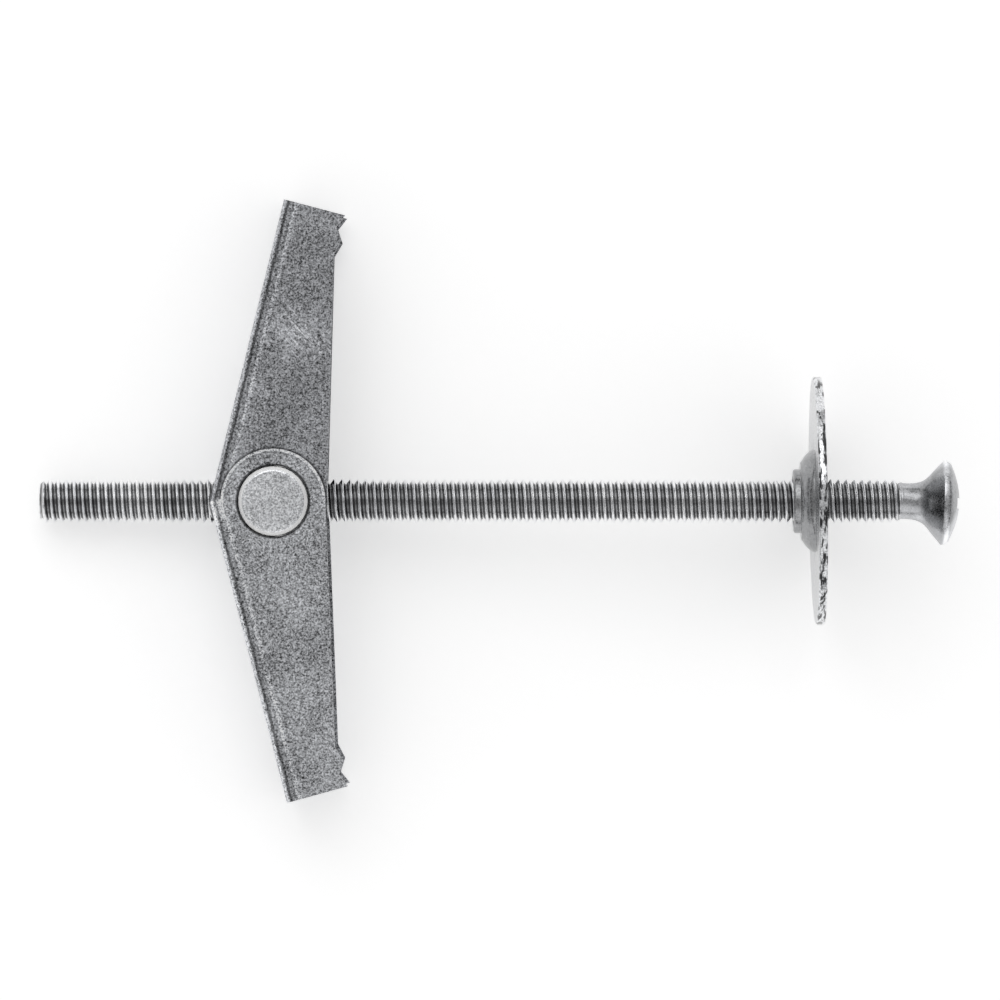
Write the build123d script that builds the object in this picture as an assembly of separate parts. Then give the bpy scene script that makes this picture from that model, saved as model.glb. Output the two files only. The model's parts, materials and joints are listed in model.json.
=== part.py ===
from build123d import *
from math import acos, asin, atan2, cos, degrees, hypot, pi, radians, sin, sqrt
import os

# Spring toggle bolt: a long M4 raised countersunk screw, a dished washer, and a toggle of two
# sprung channel wings on a trunnion nut. Everything is first built in the screw's own frame,
# in millimetres: the origin on the trunnion's axis, +X along the screw to its head, +Y along the
# first wing's span and +Z along the trunnion. The last section lays it down on its side.

# --- screw ----------------------------------------------------------------------------------
THREAD_D = 3.9            # M4 over the crests
TIP_X = -20.8             # the screw's end, from the trunnion's axis
THREAD_END_X = 55.9       # where the thread has run out into the neck
RUN_OUT = 0.7             # one pitch of fading thread
TIP_CHAMFER = 0.45
NECK_D = 3.2
HEAD_START_X = 57.2       # where the neck begins to flare into the head
HEAD_RIM_X = 59.4
HEAD_D = 7.5
RIM_LAND = 0.15           # the thin cylindrical edge of the head
DOME_RISE = 1.4
DOME_EDGE_DROP = 0.55     # how far the dome's edge is rounded down to the rim
DOME_EDGE_R = 0.3         # how far in from the rim that rounding reaches
FLARE_RISE = 0.6          # how far out the concave flare reaches before the cone
HEAD_LEAN = 2.5           # degrees by which this cold-formed head sits out of square

# cross recess of the head
RECESS_SPAN = 4.4
RECESS_SLOT = 0.95
RECESS_DEPTH = 2.5
RECESS_END_SPAN = 1.9
OVERSIZE = 1.0            # how far a cutting tool stands out of what it cuts

# --- washer ---------------------------------------------------------------------------------
WASHER_D = 22.0
WASHER_SHEET = 0.75
WASHER_FACE_X = 47.9      # the flange's face towards the toggle
WASHER_SLACK = 0.3        # radial, between the bore and the thread's crests
DISH_D = 9.15             # the dish where it leaves the flange
DISH_END_D = 7.2
DISH_RISE = 1.2
DISH_CROWN = 0.18         # how far the middle of the dish's side bulges out of a straight cone
COLLAR_D = 5.7
COLLAR_RISE = 0.67
SEAT_MOUTH_D = 8.6        # the 90 degree seat where it opens at the flange
WASHER_EDGE_R = 0.2
WASHER_LEAN = 0.8         # degrees of slack in the bore, about the trunnion's direction

# --- trunnion nut ---------------------------------------------------------------------------
TRUNNION_D = 6.2
TRUNNION_CHAMFER = 0.4
TRUNNION_PROUD = 0.3      # how far each end stands out of the outer ear
THREAD_CLEARANCE = 0.05   # radial, between the nut's bore and the thread's crests

# --- wings ----------------------------------------------------------------------------------
WING_SHEET = 0.65
WING_REACH = 26.1         # from the trunnion's axis to the far end, along the web
OUTER_EAR_WALL = 1.47     # metal around the hole in the ear that lies outside
INNER_EAR_WALL = 1.57     # metal around the hole in the ear that lies inside
EAR_WEB_GAP = 0.1         # between one wing's ear and the other wing's web when folded
EAR_OVERHANG = 1.33       # how far past the trunnion's axis the outer ear is cut square
BEARING_TAPER = 12.2      # degrees between the web and the edge that bears on the wall
OPEN_ANGLE = 75.9         # degrees between each open wing's web and the middle of the toggle
TOGGLE_LEAN = 0.3         # degrees by which the whole toggle sits askew on the screw's thread
BEND_R = 0.25             # inside radius of the channel's bends
EAR_COIL_GAP = 0.19       # between the spring's coils and the inner ears
NEST_GAP = 0.05           # between an inner ear and the outer ear over it
PIN_CLEARANCE = 0.05      # radial, between each ear's hole and the trunnion
BUTT_GAP = 0.04           # between the two webs where they stop each other
SCREW_NOTCH_CLEARANCE = 0.4
# the two teeth at the far end of the bearing edge: distance back from the end, height over the
# line that runs through the trunnion's axis along the web
TEETH = [(0.1, 0.15), (1.26, -0.38), (2.36, 0.30)]
TEETH_LENGTH = 3.7

# --- torsion spring -------------------------------------------------------------------------
WIRE_D = 0.55
COIL_CLEARANCE = 0.12     # radial, between the trunnion and the coils
COIL_SIDE_CLEARANCE = 0.12    # between the screw's thread and the coils beside it
COIL_TURN_GAP = 0.06      # between one turn and the next
LEG_REACH = 12.0          # where the free legs press on the first wing's web
BRIDGE_REACH = 9.0        # where the bridge presses on the second wing's web
BRIDGE_BEND_R = 0.9
WEB_PRESS_GAP = 0.05

# --- sizes that follow ----------------------------------------------------------------------
thread_r = THREAD_D / 2
neck_r = NECK_D / 2
head_r = HEAD_D / 2
washer_r = WASHER_D / 2
trunnion_r = TRUNNION_D / 2
wire_r = WIRE_D / 2
outer_ear_r = trunnion_r + PIN_CLEARANCE + OUTER_EAR_WALL
inner_ear_r = trunnion_r + PIN_CLEARANCE + INNER_EAR_WALL
web_inside = inner_ear_r + EAR_WEB_GAP
web_offset = web_inside + WING_SHEET
coil_r = trunnion_r + COIL_CLEARANCE + wire_r
coil_start_z = thread_r + COIL_SIDE_CLEARANCE + wire_r
coil_pitch = WIRE_D + COIL_TURN_GAP
FAR = 200.0               # larger than the whole object, for cutting tools
# the first wing's frame, whose X runs along the web, set at its open angle
OPEN_WING = Rot(0, 0, OPEN_ANGLE) * Rot(180, 0, 0)


def spring_leg(reach):
    """Where a spring leg ends on the first wing's web, and the turn at which it leaves its coil."""
    rest = web_inside - wire_r - WEB_PRESS_GAP
    length = hypot(reach, rest)
    end_turn = radians(OPEN_ANGLE) + atan2(rest, reach)
    end = (length * cos(end_turn), length * sin(end_turn))
    return end, end_turn + acos(coil_r / length)


leg_end, leg_turn = spring_leg(LEG_REACH)
bridge_end, bridge_turn = spring_leg(BRIDGE_REACH)
coil_rise = coil_pitch * (4 * pi - bridge_turn - leg_turn) / (2 * pi)
coil_end_z = coil_start_z + coil_rise
ear_inner_z = coil_end_z + wire_r + EAR_COIL_GAP
ear_outer_z = ear_inner_z + WING_SHEET + NEST_GAP
wing_half_width = ear_outer_z + WING_SHEET
trunnion_half = wing_half_width + TRUNNION_PROUD


def turned(*edges):
    """The solid that an outline of edges sweeps about the screw's axis."""
    return revolve(make_face(Curve() + list(edges)), Axis.X)


def make_head():
    cone_end_x = HEAD_RIM_X - RIM_LAND
    flare_r = neck_r + FLARE_RISE
    flare_x = cone_end_x - (head_r - flare_r)
    apex = (HEAD_RIM_X + DOME_RISE, 0)
    dome_edge = (HEAD_RIM_X + DOME_EDGE_DROP, head_r - DOME_EDGE_R)
    head = turned(
        Line((THREAD_END_X, 0), (THREAD_END_X, neck_r)),
        Line((THREAD_END_X, neck_r), (HEAD_START_X, neck_r)),
        Spline((HEAD_START_X, neck_r), (flare_x, flare_r), tangents=[(1, 0), (1, 1)]),
        Line((flare_x, flare_r), (cone_end_x, head_r)),
        Line((cone_end_x, head_r), (HEAD_RIM_X, head_r)),
        Spline((HEAD_RIM_X, head_r), dome_edge, apex, tangents=[(0.5, -0.1), (0, -1)]),
        Line(apex, (THREAD_END_X, 0)),
    )
    recess_plane = Plane(origin=apex, z_dir=(-1, 0, 0))
    arm = Rectangle(RECESS_SPAN + OVERSIZE, RECESS_SLOT)
    cross = extrude(recess_plane * (arm + Rot(0, 0, 90) * arm), RECESS_DEPTH)
    cone = recess_plane * Pos(0, 0, RECESS_DEPTH / 2) * Cone(
        RECESS_SPAN / 2, RECESS_END_SPAN / 2, RECESS_DEPTH
    )
    return head - (cross & cone)


def make_screw():
    shank = turned(
        Polyline(
            (TIP_X, 0),
            (TIP_X, thread_r - TIP_CHAMFER),
            (TIP_X + TIP_CHAMFER, thread_r),
            (THREAD_END_X - RUN_OUT, thread_r),
            (THREAD_END_X, neck_r),
            (HEAD_START_X, neck_r),
            (HEAD_START_X, 0),
            close=True,
        )
    )
    neck_end = Pos(THREAD_END_X, 0, 0)
    lean = neck_end * Rot(0, 0, -HEAD_LEAN) * neck_end.inverse()
    return shank + lean * make_head()


def make_washer():
    face, back = WASHER_FACE_X, WASHER_FACE_X + WASHER_SHEET
    dish_end_x = face - DISH_RISE
    collar_end_x = dish_end_x - COLLAR_RISE
    edge = WASHER_EDGE_R
    flat_end = washer_r - edge
    bore_r = thread_r + WASHER_SLACK
    seat_end_x = back - (SEAT_MOUTH_D / 2 - bore_r)
    dish_middle = (face - DISH_RISE / 2, (DISH_D + DISH_END_D) / 4 + DISH_CROWN)
    body = turned(
        Line((collar_end_x, bore_r), (collar_end_x, COLLAR_D / 2)),
        Line((collar_end_x, COLLAR_D / 2), (dish_end_x, COLLAR_D / 2)),
        Line((dish_end_x, COLLAR_D / 2), (dish_end_x, DISH_END_D / 2)),
        ThreePointArc((dish_end_x, DISH_END_D / 2), dish_middle, (face, DISH_D / 2)),
        Line((face, DISH_D / 2), (face, flat_end)),
        RadiusArc((face, flat_end), (face + edge, washer_r), edge),
        Line((face + edge, washer_r), (back - edge, washer_r)),
        RadiusArc((back - edge, washer_r), (back, flat_end), edge),
        Line((back, flat_end), (back, SEAT_MOUTH_D / 2)),
        Line((back, SEAT_MOUTH_D / 2), (seat_end_x, bore_r)),
        Line((seat_end_x, bore_r), (collar_end_x, bore_r)),
    )
    middle = Pos((collar_end_x + back) / 2, 0, 0)
    lean = middle * Rot(0, 0, WASHER_LEAN) * middle.inverse()
    return lean * body


def make_trunnion():
    barrel = Cylinder(trunnion_r, 2 * trunnion_half)
    ends = barrel.edges().filter_by(GeomType.CIRCLE)
    barrel = chamfer(ends, TRUNNION_CHAMFER)
    return barrel - Rot(0, 90, 0) * Cylinder(thread_r + THREAD_CLEARANCE, TRUNNION_D + 2 * OVERSIZE)


def wing_outline(ear_r):
    """One flange of a wing: X runs along the web from the trunnion, Y towards the screw's head."""
    taper = radians(BEARING_TAPER)
    teeth_start = WING_REACH - TEETH_LENGTH
    bearing_start = (ear_r * sin(taper), ear_r * cos(taper))
    bearing_end = (teeth_start, (ear_r - teeth_start * sin(taper)) / cos(taper))
    ear_end = (-EAR_OVERHANG, -sqrt(ear_r**2 - EAR_OVERHANG**2))
    teeth = [(WING_REACH - back, height) for back, height in reversed(TEETH)]
    far_side = Polyline(
        ear_end,
        (-EAR_OVERHANG, -web_offset),
        (WING_REACH, -web_offset),
        *reversed(teeth),
        bearing_end,
        bearing_start,
    )
    return make_face(Curve() + [far_side, ThreePointArc(bearing_start, (-ear_r, 0), ear_end)])


def make_wing():
    """The first wing, open: its outer ear is on the -Z side, its inner ear on the +Z side."""
    ear_in = ear_inner_z + WING_SHEET
    block = extrude(Pos(0, 0, -ear_in) * wing_outline(inner_ear_r), ear_in)
    block += extrude(wing_outline(outer_ear_r), wing_half_width)
    web_edges = block.edges().filter_by(Axis.X).group_by(Axis.Y)[0]
    block = fillet(web_edges, BEND_R + WING_SHEET)
    hollow = Pos(0, -web_inside, -ear_inner_z) * Box(
        FAR, FAR, ear_inner_z + ear_outer_z, align=(Align.CENTER, Align.MIN, Align.MIN)
    )
    bends = hollow.edges().filter_by(Axis.X).group_by(Axis.Y)[0]
    wing = block - fillet(bends, BEND_R) - Cylinder(trunnion_r + PIN_CLEARANCE, FAR)
    wing = OPEN_WING * wing
    # all but the outer ear stops at the plane midway between the wings
    beyond = Pos(0, BUTT_GAP / 2, -ear_outer_z) * Box(
        FAR, FAR, FAR, align=(Align.CENTER, Align.MAX, Align.MIN)
    )
    beyond -= Cylinder(inner_ear_r, FAR)
    notch_r = thread_r + SCREW_NOTCH_CLEARANCE
    notch = Rot(0, -90, 0) * Cylinder(notch_r, FAR, align=(Align.CENTER, Align.CENTER, Align.MIN))
    return wing - beyond - notch


def make_spring():
    """Two coils about the trunnion, a free leg from each, and a bridge that joins them."""
    coil = Helix(coil_pitch, coil_rise, coil_r, center=(0, 0, coil_start_z), lefthand=True)
    coil = Rot(0, 0, -degrees(bridge_turn)) * coil
    leg_off = (coil_r * cos(leg_turn), coil_r * sin(leg_turn), coil_end_z)
    free_leg = Line(leg_off, (*leg_end, coil_end_z))
    bridge = FilletPolyline(
        (coil_r * cos(bridge_turn), -coil_r * sin(bridge_turn), coil_start_z),
        (bridge_end[0], -bridge_end[1], coil_start_z),
        (bridge_end[0], -bridge_end[1], -coil_start_z),
        (coil_r * cos(bridge_turn), -coil_r * sin(bridge_turn), -coil_start_z),
        radius=BRIDGE_BEND_R,
    )
    path = Wire(
        [free_leg.edge(), coil.edge(), *bridge.edges()]
        + [mirror(coil, Plane.XY).edge(), mirror(free_leg, Plane.XY).edge()]
    )
    section = Plane(path @ 0, z_dir=path % 0) * Circle(wire_r)
    return sweep(section, path, is_frenet=True)


# --- laying the bolt down -------------------------------------------------------------------
# It lies on the washer's rim and on the edge of the trunnion's flat end, so that the screw
# slopes down towards its tip. The floor touches both in the plane of the screw and trunnion.
def lay_down(parts):
    span = WASHER_FACE_X + WASHER_EDGE_R + trunnion_r - TRUNNION_CHAMFER
    drop = washer_r - WASHER_EDGE_R - trunnion_half
    slope = atan2(drop, span) + asin(WASHER_EDGE_R / hypot(span, drop))
    turned_down = Rot(0, -degrees(slope), 0)
    box = Compound(children=[turned_down * part for part in parts.values()]).bounding_box()
    return Pos(-box.center().X, -box.center().Y, -box.min.Z) * turned_down


if __name__ == "__main__":
    wing = make_wing()
    askew = Rot(0, 0, TOGGLE_LEAN)
    parts = {
        "screw": make_screw(),
        "washer": make_washer(),
        "trunnion_nut": make_trunnion(),
        "wing_upper": askew * wing,
        "wing_lower": askew * Rot(180, 0, 0) * wing,
        "torsion_spring": askew * make_spring(),
    }
    place = lay_down(parts)
    print("bolt's frame in the part's frame:", place.position, place.orientation)
    os.makedirs("parts", exist_ok=True)
    for name, part in parts.items():
        solid = place * part
        export_step(solid, f"parts/{name}.step")
        print(name, round(solid.volume, 2), "mm3")
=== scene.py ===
import json
import math

import bmesh
import bpy
from bpy.props import FloatProperty, FloatVectorProperty, IntProperty, PointerProperty
from mathutils import Matrix, Vector


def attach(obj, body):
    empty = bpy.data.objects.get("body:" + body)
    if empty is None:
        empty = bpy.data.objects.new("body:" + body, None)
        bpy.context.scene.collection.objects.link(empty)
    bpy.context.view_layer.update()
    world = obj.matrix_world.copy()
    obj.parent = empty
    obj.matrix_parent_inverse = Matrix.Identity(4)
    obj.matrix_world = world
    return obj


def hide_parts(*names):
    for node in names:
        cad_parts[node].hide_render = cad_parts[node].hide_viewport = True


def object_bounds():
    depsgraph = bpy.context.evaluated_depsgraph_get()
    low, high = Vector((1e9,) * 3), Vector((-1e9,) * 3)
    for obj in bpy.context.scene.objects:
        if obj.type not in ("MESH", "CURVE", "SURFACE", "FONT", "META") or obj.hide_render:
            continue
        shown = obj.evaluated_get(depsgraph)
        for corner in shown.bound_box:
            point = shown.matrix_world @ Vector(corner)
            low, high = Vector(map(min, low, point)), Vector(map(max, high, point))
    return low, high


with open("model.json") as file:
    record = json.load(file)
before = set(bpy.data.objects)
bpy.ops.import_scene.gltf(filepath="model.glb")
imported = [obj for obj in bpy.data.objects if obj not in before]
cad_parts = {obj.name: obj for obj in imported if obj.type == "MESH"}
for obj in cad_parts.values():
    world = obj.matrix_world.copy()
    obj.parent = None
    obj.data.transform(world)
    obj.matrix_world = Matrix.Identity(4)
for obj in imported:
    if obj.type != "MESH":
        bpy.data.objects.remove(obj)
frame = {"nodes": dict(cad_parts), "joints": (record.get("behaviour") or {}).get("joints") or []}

bl_info = {
    "name": "Spring toggle bolt",
    "version": (1, 0, 0),
    "blender": (4, 5, 0),
    "location": "View3D > Sidebar > Toggle bolt",
    "description": "Detailed pieces, zinc finishes and studio for a spring toggle bolt",
    "category": "Object",
}

CAD_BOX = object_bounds()
JOINTS = {joint["name"]: joint for joint in frame["joints"]}

# The bolt's own frame: X along the screw to its head, Y along the upper wing's span and Z along
# the trunnion, from the middle of the trunnion.
ALONG = Vector(JOINTS["nut_travel"]["axis"]).normalized()
TRUNNION_AXIS = Vector(JOINTS["wing_lower_hinge"]["axis"]).normalized()
SPAN = TRUNNION_AXIS.cross(ALONG)
BOLT = Matrix((ALONG, SPAN, TRUNNION_AXIS)).transposed().to_4x4()
BOLT.translation = Vector(JOINTS["wing_lower_hinge"]["pos_m"])
MM = 0.001


def extent(node):
    """Lowest and highest corner of a CAD node in the bolt's own frame, in metres."""
    back = BOLT.inverted()
    points = [back @ vertex.co for vertex in frame["nodes"][node].data.vertices]
    low = Vector([min(point[i] for point in points) for i in range(3)])
    high = Vector([max(point[i] for point in points) for i in range(3)])
    return low, high


SCREW_LOW, SCREW_HIGH = extent("screw")


# --- properties -----------------------------------------------------------------------------
def length(name, description, default):
    return FloatProperty(
        name=name, description=description, default=default, min=0.0, precision=5, unit="LENGTH"
    )


def colour(name, description, default):
    return FloatVectorProperty(
        name=name, description=description, default=default, subtype="COLOR", size=3, min=0, max=1
    )


class ToggleBoltSizes(bpy.types.PropertyGroup):
    pitch: length("Pitch", "Distance between neighbouring thread crests", 0.7 * MM)
    crest_radius: length("Crest radius", "Radius over the thread's crests", 1.95 * MM)
    root_radius: length("Root radius", "Radius at the bottom of the thread", 1.52 * MM)
    neck_radius: length("Neck radius", "Radius of the plain neck under the head", 1.6 * MM)
    thread_end: length("Thread end", "Where the thread fades into the neck", 55.9 * MM)
    head_start: length("Head start", "Where the neck flares into the head", 57.2 * MM)
    head_rim: length("Head rim", "Where the head is widest", 59.4 * MM)
    head_radius: length("Head radius", "Radius of the head's rim", 3.75 * MM)
    recess_span: length("Recess span", "Width of the cross recess over its arms", 4.4 * MM)
    recess_slot: length("Recess slot", "Width of each arm of the cross recess", 0.95 * MM)
    recess_depth: length("Recess depth", "Depth of the cross recess", 2.5 * MM)
    washer_face: length("Washer face", "Where the flange's face towards the toggle is", 47.9 * MM)
    washer_sheet: length("Washer sheet", "Thickness of the washer's flange", 0.75 * MM)
    washer_radius: length("Washer radius", "Radius of the washer's rim", 11.0 * MM)
    dish_radius: length("Dish radius", "Radius of the dish where it leaves the flange", 4.575 * MM)
    dish_end_radius: length("Dish end radius", "Radius of the dish at its collar", 3.6 * MM)
    dish_rise: length("Dish rise", "How far the dish stands out of the flange", 1.2 * MM)
    collar_radius: length("Collar radius", "Radius of the collar", 2.85 * MM)
    collar_rise: length("Collar rise", "How far the collar stands out of the dish", 0.67 * MM)
    bore_radius: length("Bore radius", "Radius of the hole for the screw", 2.25 * MM)
    seat_radius: length("Seat radius", "Radius of the countersunk seat's mouth", 4.3 * MM)
    edge_round: length("Edge round", "Rounding of the sheared edges of the wings", 0.11 * MM)
    trunnion_round: length("Trunnion round", "Rounding of the trunnion's turned edges", 0.08 * MM)
    wire_radius: length("Wire radius", "Radius of the torsion spring's wire", 0.275 * MM)
    coil_radius: length("Coil radius", "Radius of the spring's coils to the wire's middle", 3.495 * MM)
    coil_start: length("Coil start", "Each coil's inner end, from the screw's axis", 2.345 * MM)
    coil_pitch: length("Coil pitch", "Distance between neighbouring turns of a coil", 0.61 * MM)
    web_rest: length("Web rest", "From the trunnion's axis to a leg lying on a web", 4.495 * MM)
    leg_reach: length("Leg reach", "How far along its wing each free leg presses", 12.0 * MM)
    bridge_reach: length("Bridge reach", "How far along its wing the bridge presses", 9.0 * MM)
    bridge_bend: length("Bridge bend", "Radius of the bridge's bends", 0.9 * MM)
    thread_steps: IntProperty(
        name="Thread steps", description="Facets around each thread turn", default=48, min=12, max=64
    )


class ToggleBoltFinish(bpy.types.PropertyGroup):
    upper_wing: colour("Upper wing", "Dull zinc plate on the upper wing", (0.232, 0.236, 0.247))
    lower_wing: colour("Lower wing", "Dull zinc plate on the lower wing", (0.315, 0.321, 0.334))
    washer: colour("Washer", "Zinc plate on the washer", (0.46, 0.465, 0.475))
    thread: colour("Thread", "Zinc plate on the thread's crests", (0.93, 0.935, 0.95))
    head: colour("Head", "Zinc plate on the screw's head and neck", (0.49, 0.495, 0.51))
    trunnion: colour("Trunnion", "Zinc plate on the trunnion nut", (0.66, 0.67, 0.69))
    # the chamfer's colour is a painted highlight round the trunnion's ends
    chamfer: colour("Chamfer", "Bright chamfer round the trunnion's ends", (0.99, 0.99, 0.99))
    wire: colour("Spring wire", "Drawn spring wire", (0.26, 0.26, 0.27))
    floor: colour("Floor", "The pale floor under the bolt", (0.97, 0.97, 0.97))


def sizes():
    return bpy.context.scene.toggle_bolt_sizes


def finish():
    return bpy.context.scene.toggle_bolt_finish


# How the toggle, the head and the washer sit out of square, in degrees about the trunnion's way.
TOGGLE_LEAN = 0.3
HEAD_LEAN = -2.5
WASHER_LEAN = 0.8
OPEN_ANGLE = 75.9
WEB_OFFSET = 5.47 * MM    # from the trunnion's axis to the outside of a wing's web
EAR_RADIUS = 4.62 * MM    # the outer ear that lies over the other wing's flank
HOLE_RADIUS = 3.15 * MM   # the hole in each ear for the trunnion
DOME_RISE = 1.4 * MM      # how far the head's dome stands above its rim
NECK_BLEND = 0.3 * MM     # the length over which the head's lean begins
SAME_PLACE = 1e-6         # metres within which two points are the same
CHAMFER_SLOPE = (0.3, 0.82)       # share of a chamfer's normal that is along the trunnion
HIGHLIGHT_FROM, HIGHLIGHT_FULLY = 12, 30    # how sharply, in degrees, an edge turns to take the painted highlight


# --- modelling helpers ----------------------------------------------------------------------
def deselect_all():
    if bpy.context.mode != "OBJECT":
        bpy.ops.object.mode_set(mode="OBJECT")
    bpy.ops.object.select_all(action="DESELECT")


def make_active(piece):
    deselect_all()
    piece.select_set(True)
    bpy.context.view_layer.objects.active = piece


def link(piece):
    bpy.context.scene.collection.objects.link(piece)
    make_active(piece)
    return piece


def grow_ring(x, radius, next_x, next_radius):
    """Extrude the selected ring or face along the bolt and set its new radius."""
    bpy.ops.mesh.extrude_region_move(TRANSFORM_OT_translate={"value": (next_x - x, 0, 0)})
    grow = next_radius / radius
    bpy.ops.transform.resize(value=(1, grow, grow), center_override=(next_x, 0, 0))


def profile(name, points):
    """A line of edges through points, drawn out of a single vertex."""
    deselect_all()
    bpy.ops.mesh.primitive_plane_add(size=MM, location=points[0])
    piece = bpy.context.active_object
    piece.name = name
    piece.data.name = name
    bpy.ops.object.transform_apply()
    bpy.ops.object.mode_set(mode="EDIT")
    bpy.ops.mesh.select_mode(type="VERT")
    bpy.ops.mesh.select_all(action="SELECT")
    bpy.ops.mesh.merge(type="CENTER")
    for here, there in zip(points, points[1:]):
        step = Vector(there) - Vector(here)
        bpy.ops.mesh.extrude_region_move(TRANSFORM_OT_translate={"value": step})
    bpy.ops.object.mode_set(mode="OBJECT")
    return piece


def lathe(name, outline, steps):
    """A ring carried along an outline of (x, radius), as a turned or pressed round part."""
    deselect_all()
    x, radius = outline[0]
    bpy.ops.mesh.primitive_circle_add(
        vertices=steps, radius=radius, location=(x, 0, 0), rotation=(0, math.pi / 2, 0)
    )
    piece = bpy.context.active_object
    piece.name = name
    piece.data.name = name
    bpy.ops.object.transform_apply()
    bpy.ops.object.mode_set(mode="EDIT")
    bpy.ops.mesh.select_mode(type="VERT")
    bpy.ops.mesh.select_all(action="SELECT")
    for next_x, next_radius in outline[1:]:
        grow_ring(x, radius, next_x, next_radius)
        x, radius = next_x, next_radius
    bpy.ops.object.mode_set(mode="OBJECT")
    return piece


def tidy_mesh(piece):
    """Merge doubles and point every face outwards."""
    make_active(piece)
    bpy.ops.object.mode_set(mode="EDIT")
    bpy.ops.mesh.select_all(action="SELECT")
    bpy.ops.mesh.remove_doubles(threshold=SAME_PLACE)
    bpy.ops.mesh.normals_make_consistent(inside=False)
    bpy.ops.object.mode_set(mode="OBJECT")


def apply_modifier(piece, kind, **settings):
    make_active(piece)
    bpy.ops.object.modifier_add(type=kind)
    modifier = piece.modifiers[-1]
    for key, value in settings.items():
        setattr(modifier, key, value)
    bpy.ops.object.modifier_apply(modifier=modifier.name)


def smooth(piece, angle):
    make_active(piece)
    bpy.ops.object.shade_smooth_by_angle(angle=math.radians(angle))


def lean(piece, degrees, x):
    """Turn a piece about the trunnion's direction through a place on the screw's axis."""
    pivot = Matrix.Translation((x, 0, 0))
    piece.data.transform(pivot @ Matrix.Rotation(math.radians(degrees), 4, "Z") @ pivot.inverted())


def place_on_bolt(piece):
    """Move a piece from the bolt's own frame to where the bolt lies."""
    make_active(piece)
    piece.matrix_world = BOLT
    bpy.ops.object.transform_apply(location=True, rotation=True, scale=True)


def set_mask(piece, name, value_of):
    """Store a value from 0 to 1 on each vertex, for the finish to read."""
    attribute = piece.data.attributes.new(name, "FLOAT", "POINT")
    for vertex, item in zip(piece.data.vertices, attribute.data):
        item.value = value_of(vertex)


def ramp(value, low, high):
    """0 below low, 1 above high, straight between."""
    return min(max((value - low) / (high - low), 0.0), 1.0)


def arc(centre, radius, start, end, steps):
    """Points on an arc in the outline's plane, from one turn in degrees to another."""
    turns = [math.radians(start + (end - start) * i / steps) for i in range(steps + 1)]
    return [(centre[0] + radius * math.cos(t), centre[1] + radius * math.sin(t)) for t in turns]


def copy_of_node(node, name):
    """A new piece from a CAD node's mesh, merged, with its flat faces made whole."""
    source = frame["nodes"][node]
    piece = bpy.data.objects.new(name, source.data.copy())
    piece.data.name = name
    piece.data.materials.clear()
    link(piece)
    if piece.data.has_custom_normals:
        bpy.ops.mesh.customdata_custom_splitnormals_clear()
    bpy.ops.object.mode_set(mode="EDIT")
    bpy.ops.mesh.select_all(action="SELECT")
    bpy.ops.mesh.remove_doubles(threshold=SAME_PLACE)
    bpy.ops.mesh.dissolve_limited(angle_limit=math.radians(0.5))
    bpy.ops.mesh.normals_make_consistent(inside=False)
    bpy.ops.object.mode_set(mode="OBJECT")
    return piece


def paint_edge_highlight(piece):
    """Store on each vertex how sharply the surface turns there, for the painted highlight along sharp,
    sheared edges.
    """
    turn = [0.0] * len(piece.data.vertices)
    shape = bmesh.new()
    shape.from_mesh(piece.data)
    for edge in shape.edges:
        if len(edge.link_faces) == 2:
            angle = math.degrees(edge.calc_face_angle(0.0))
            for vertex in edge.verts:
                turn[vertex.index] = max(turn[vertex.index], angle)
    shape.free()
    set_mask(piece, "edge", lambda vertex: ramp(turn[vertex.index], HIGHLIGHT_FROM, HIGHLIGHT_FULLY))


def round_edges(piece, width, sharper_than):
    """Round the edges of a piece and keep its flats flat in the light."""
    smooth(piece, 30)
    apply_modifier(
        piece, "BEVEL", width=width, segments=2, limit_method="ANGLE",
        angle_limit=math.radians(sharper_than), use_clamp_overlap=True,
    )
    paint_edge_highlight(piece)
    smooth(piece, 50)
    apply_modifier(piece, "WEIGHTED_NORMAL", mode="FACE_AREA", weight=100, keep_sharp=True)


# --- finishes -------------------------------------------------------------------------------
def socket(group, name, kind, way, default=None):
    made = group.interface.new_socket(name=name, in_out=way, socket_type=kind)
    if default is not None:
        made.default_value = default
    return made


def add_noise(tree, vector, scale, detail=3.0, rough=0.6):
    node = tree.nodes.new("ShaderNodeTexNoise")
    node.inputs["Scale"].default_value = scale
    node.inputs["Detail"].default_value = detail
    node.inputs["Roughness"].default_value = rough
    tree.links.new(vector, node.inputs["Vector"])
    return node.outputs["Fac"]


def add_math(tree, operation, *values):
    node = tree.nodes.new("ShaderNodeMath")
    node.operation = operation
    for index, value in enumerate(values):
        if isinstance(value, (int, float)):
            node.inputs[index].default_value = value
        else:
            tree.links.new(value, node.inputs[index])
    return node.outputs[0]


def add_range(tree, value, low, high, to_low, to_high):
    node = tree.nodes.new("ShaderNodeMapRange")
    node.clamp = True
    tree.links.new(value, node.inputs["Value"])
    node.inputs["From Min"].default_value = low
    node.inputs["From Max"].default_value = high
    node.inputs["To Min"].default_value = to_low
    node.inputs["To Max"].default_value = to_high
    return node.outputs["Result"]


def add_mapping(tree, vector, kind, place=(0, 0, 0), turn=(0, 0, 0), scale=(1, 1, 1)):
    node = tree.nodes.new("ShaderNodeMapping")
    node.vector_type = kind
    node.inputs["Location"].default_value = place
    node.inputs["Rotation"].default_value = turn
    node.inputs["Scale"].default_value = scale
    tree.links.new(vector, node.inputs["Vector"])
    return node.outputs["Vector"]


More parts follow.
